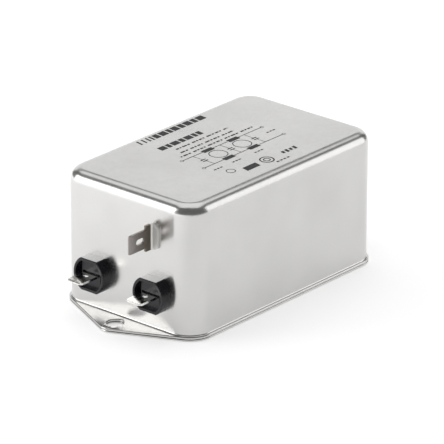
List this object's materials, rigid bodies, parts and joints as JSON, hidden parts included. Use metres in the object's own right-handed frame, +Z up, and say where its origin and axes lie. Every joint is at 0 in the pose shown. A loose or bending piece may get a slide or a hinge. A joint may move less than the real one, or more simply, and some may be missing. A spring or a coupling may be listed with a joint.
{
  "type": "mains line filter",
  "caption": "Chassis-mount mains interference filter in a drawn steel can with a flat eared base, shrouded blade terminals at both ends and an earth blade.",
  "frame": {"origin": "middle of the base plate's underside, midway between the two fixing holes", "axes": "+X from the supply end, which has the earth blade, to the load end; +Y towards the line conductor's side; +Z up, from the base plate to the roof"},
  "size_m": [0.1149, 0.0576, 0.0461],
  "materials": {
    "plated_steel": "bright tin-plated drawn steel",
    "black_moulding": "glossy black moulded plastic",
    "tinned_blade": "tin-plated brass, bright",
    "earth_blade": "dull nickel-plated steel, warm grey",
    "coated_ferrite": "ferrite ring with a smooth epoxy coat",
    "divider_board": "plain insulating plastic",
    "enamelled_copper": "enamelled copper wire",
    "capacitor_case": "moulded box, sealed with resin",
    "capacitor_disc": "dipped ceramic disc",
    "resistor_body": "lacquered resistor body",
    "bare_wire": "tinned copper wire",
    "insulating_film": "thin insulating film",
    "cast_resin": "cast resin"
  },
  "bodies": {
    "root": {"can_shell": "plated_steel", "base_plate": "plated_steel", "supply_bushing_line": "black_moulding", "supply_bushing_neutral": "black_moulding", "load_bushing_line": "black_moulding", "load_bushing_neutral": "black_moulding", "supply_tab_line": "tinned_blade", "supply_tab_neutral": "tinned_blade", "load_tab_line": "tinned_blade", "load_tab_neutral": "tinned_blade", "earth_tab": "earth_blade", "choke_1_core": "coated_ferrite", "choke_2_core": "coated_ferrite", "choke_1_divider": "divider_board", "choke_2_divider": "divider_board", "choke_1_winding_line": "enamelled_copper", "choke_1_winding_neutral": "enamelled_copper", "choke_2_winding_line": "enamelled_copper", "choke_2_winding_neutral": "enamelled_copper", "x_capacitor_supply": "capacitor_case", "x_capacitor_middle": "capacitor_case", "x_capacitor_load": "capacitor_case", "y_capacitor_line": "capacitor_disc", "y_capacitor_neutral": "capacitor_disc", "discharge_resistor": "resistor_body", "earth_wire": "bare_wire", "base_insulator": "insulating_film", "resin_bed": "cast_resin"}
  },
  "joints": []
}
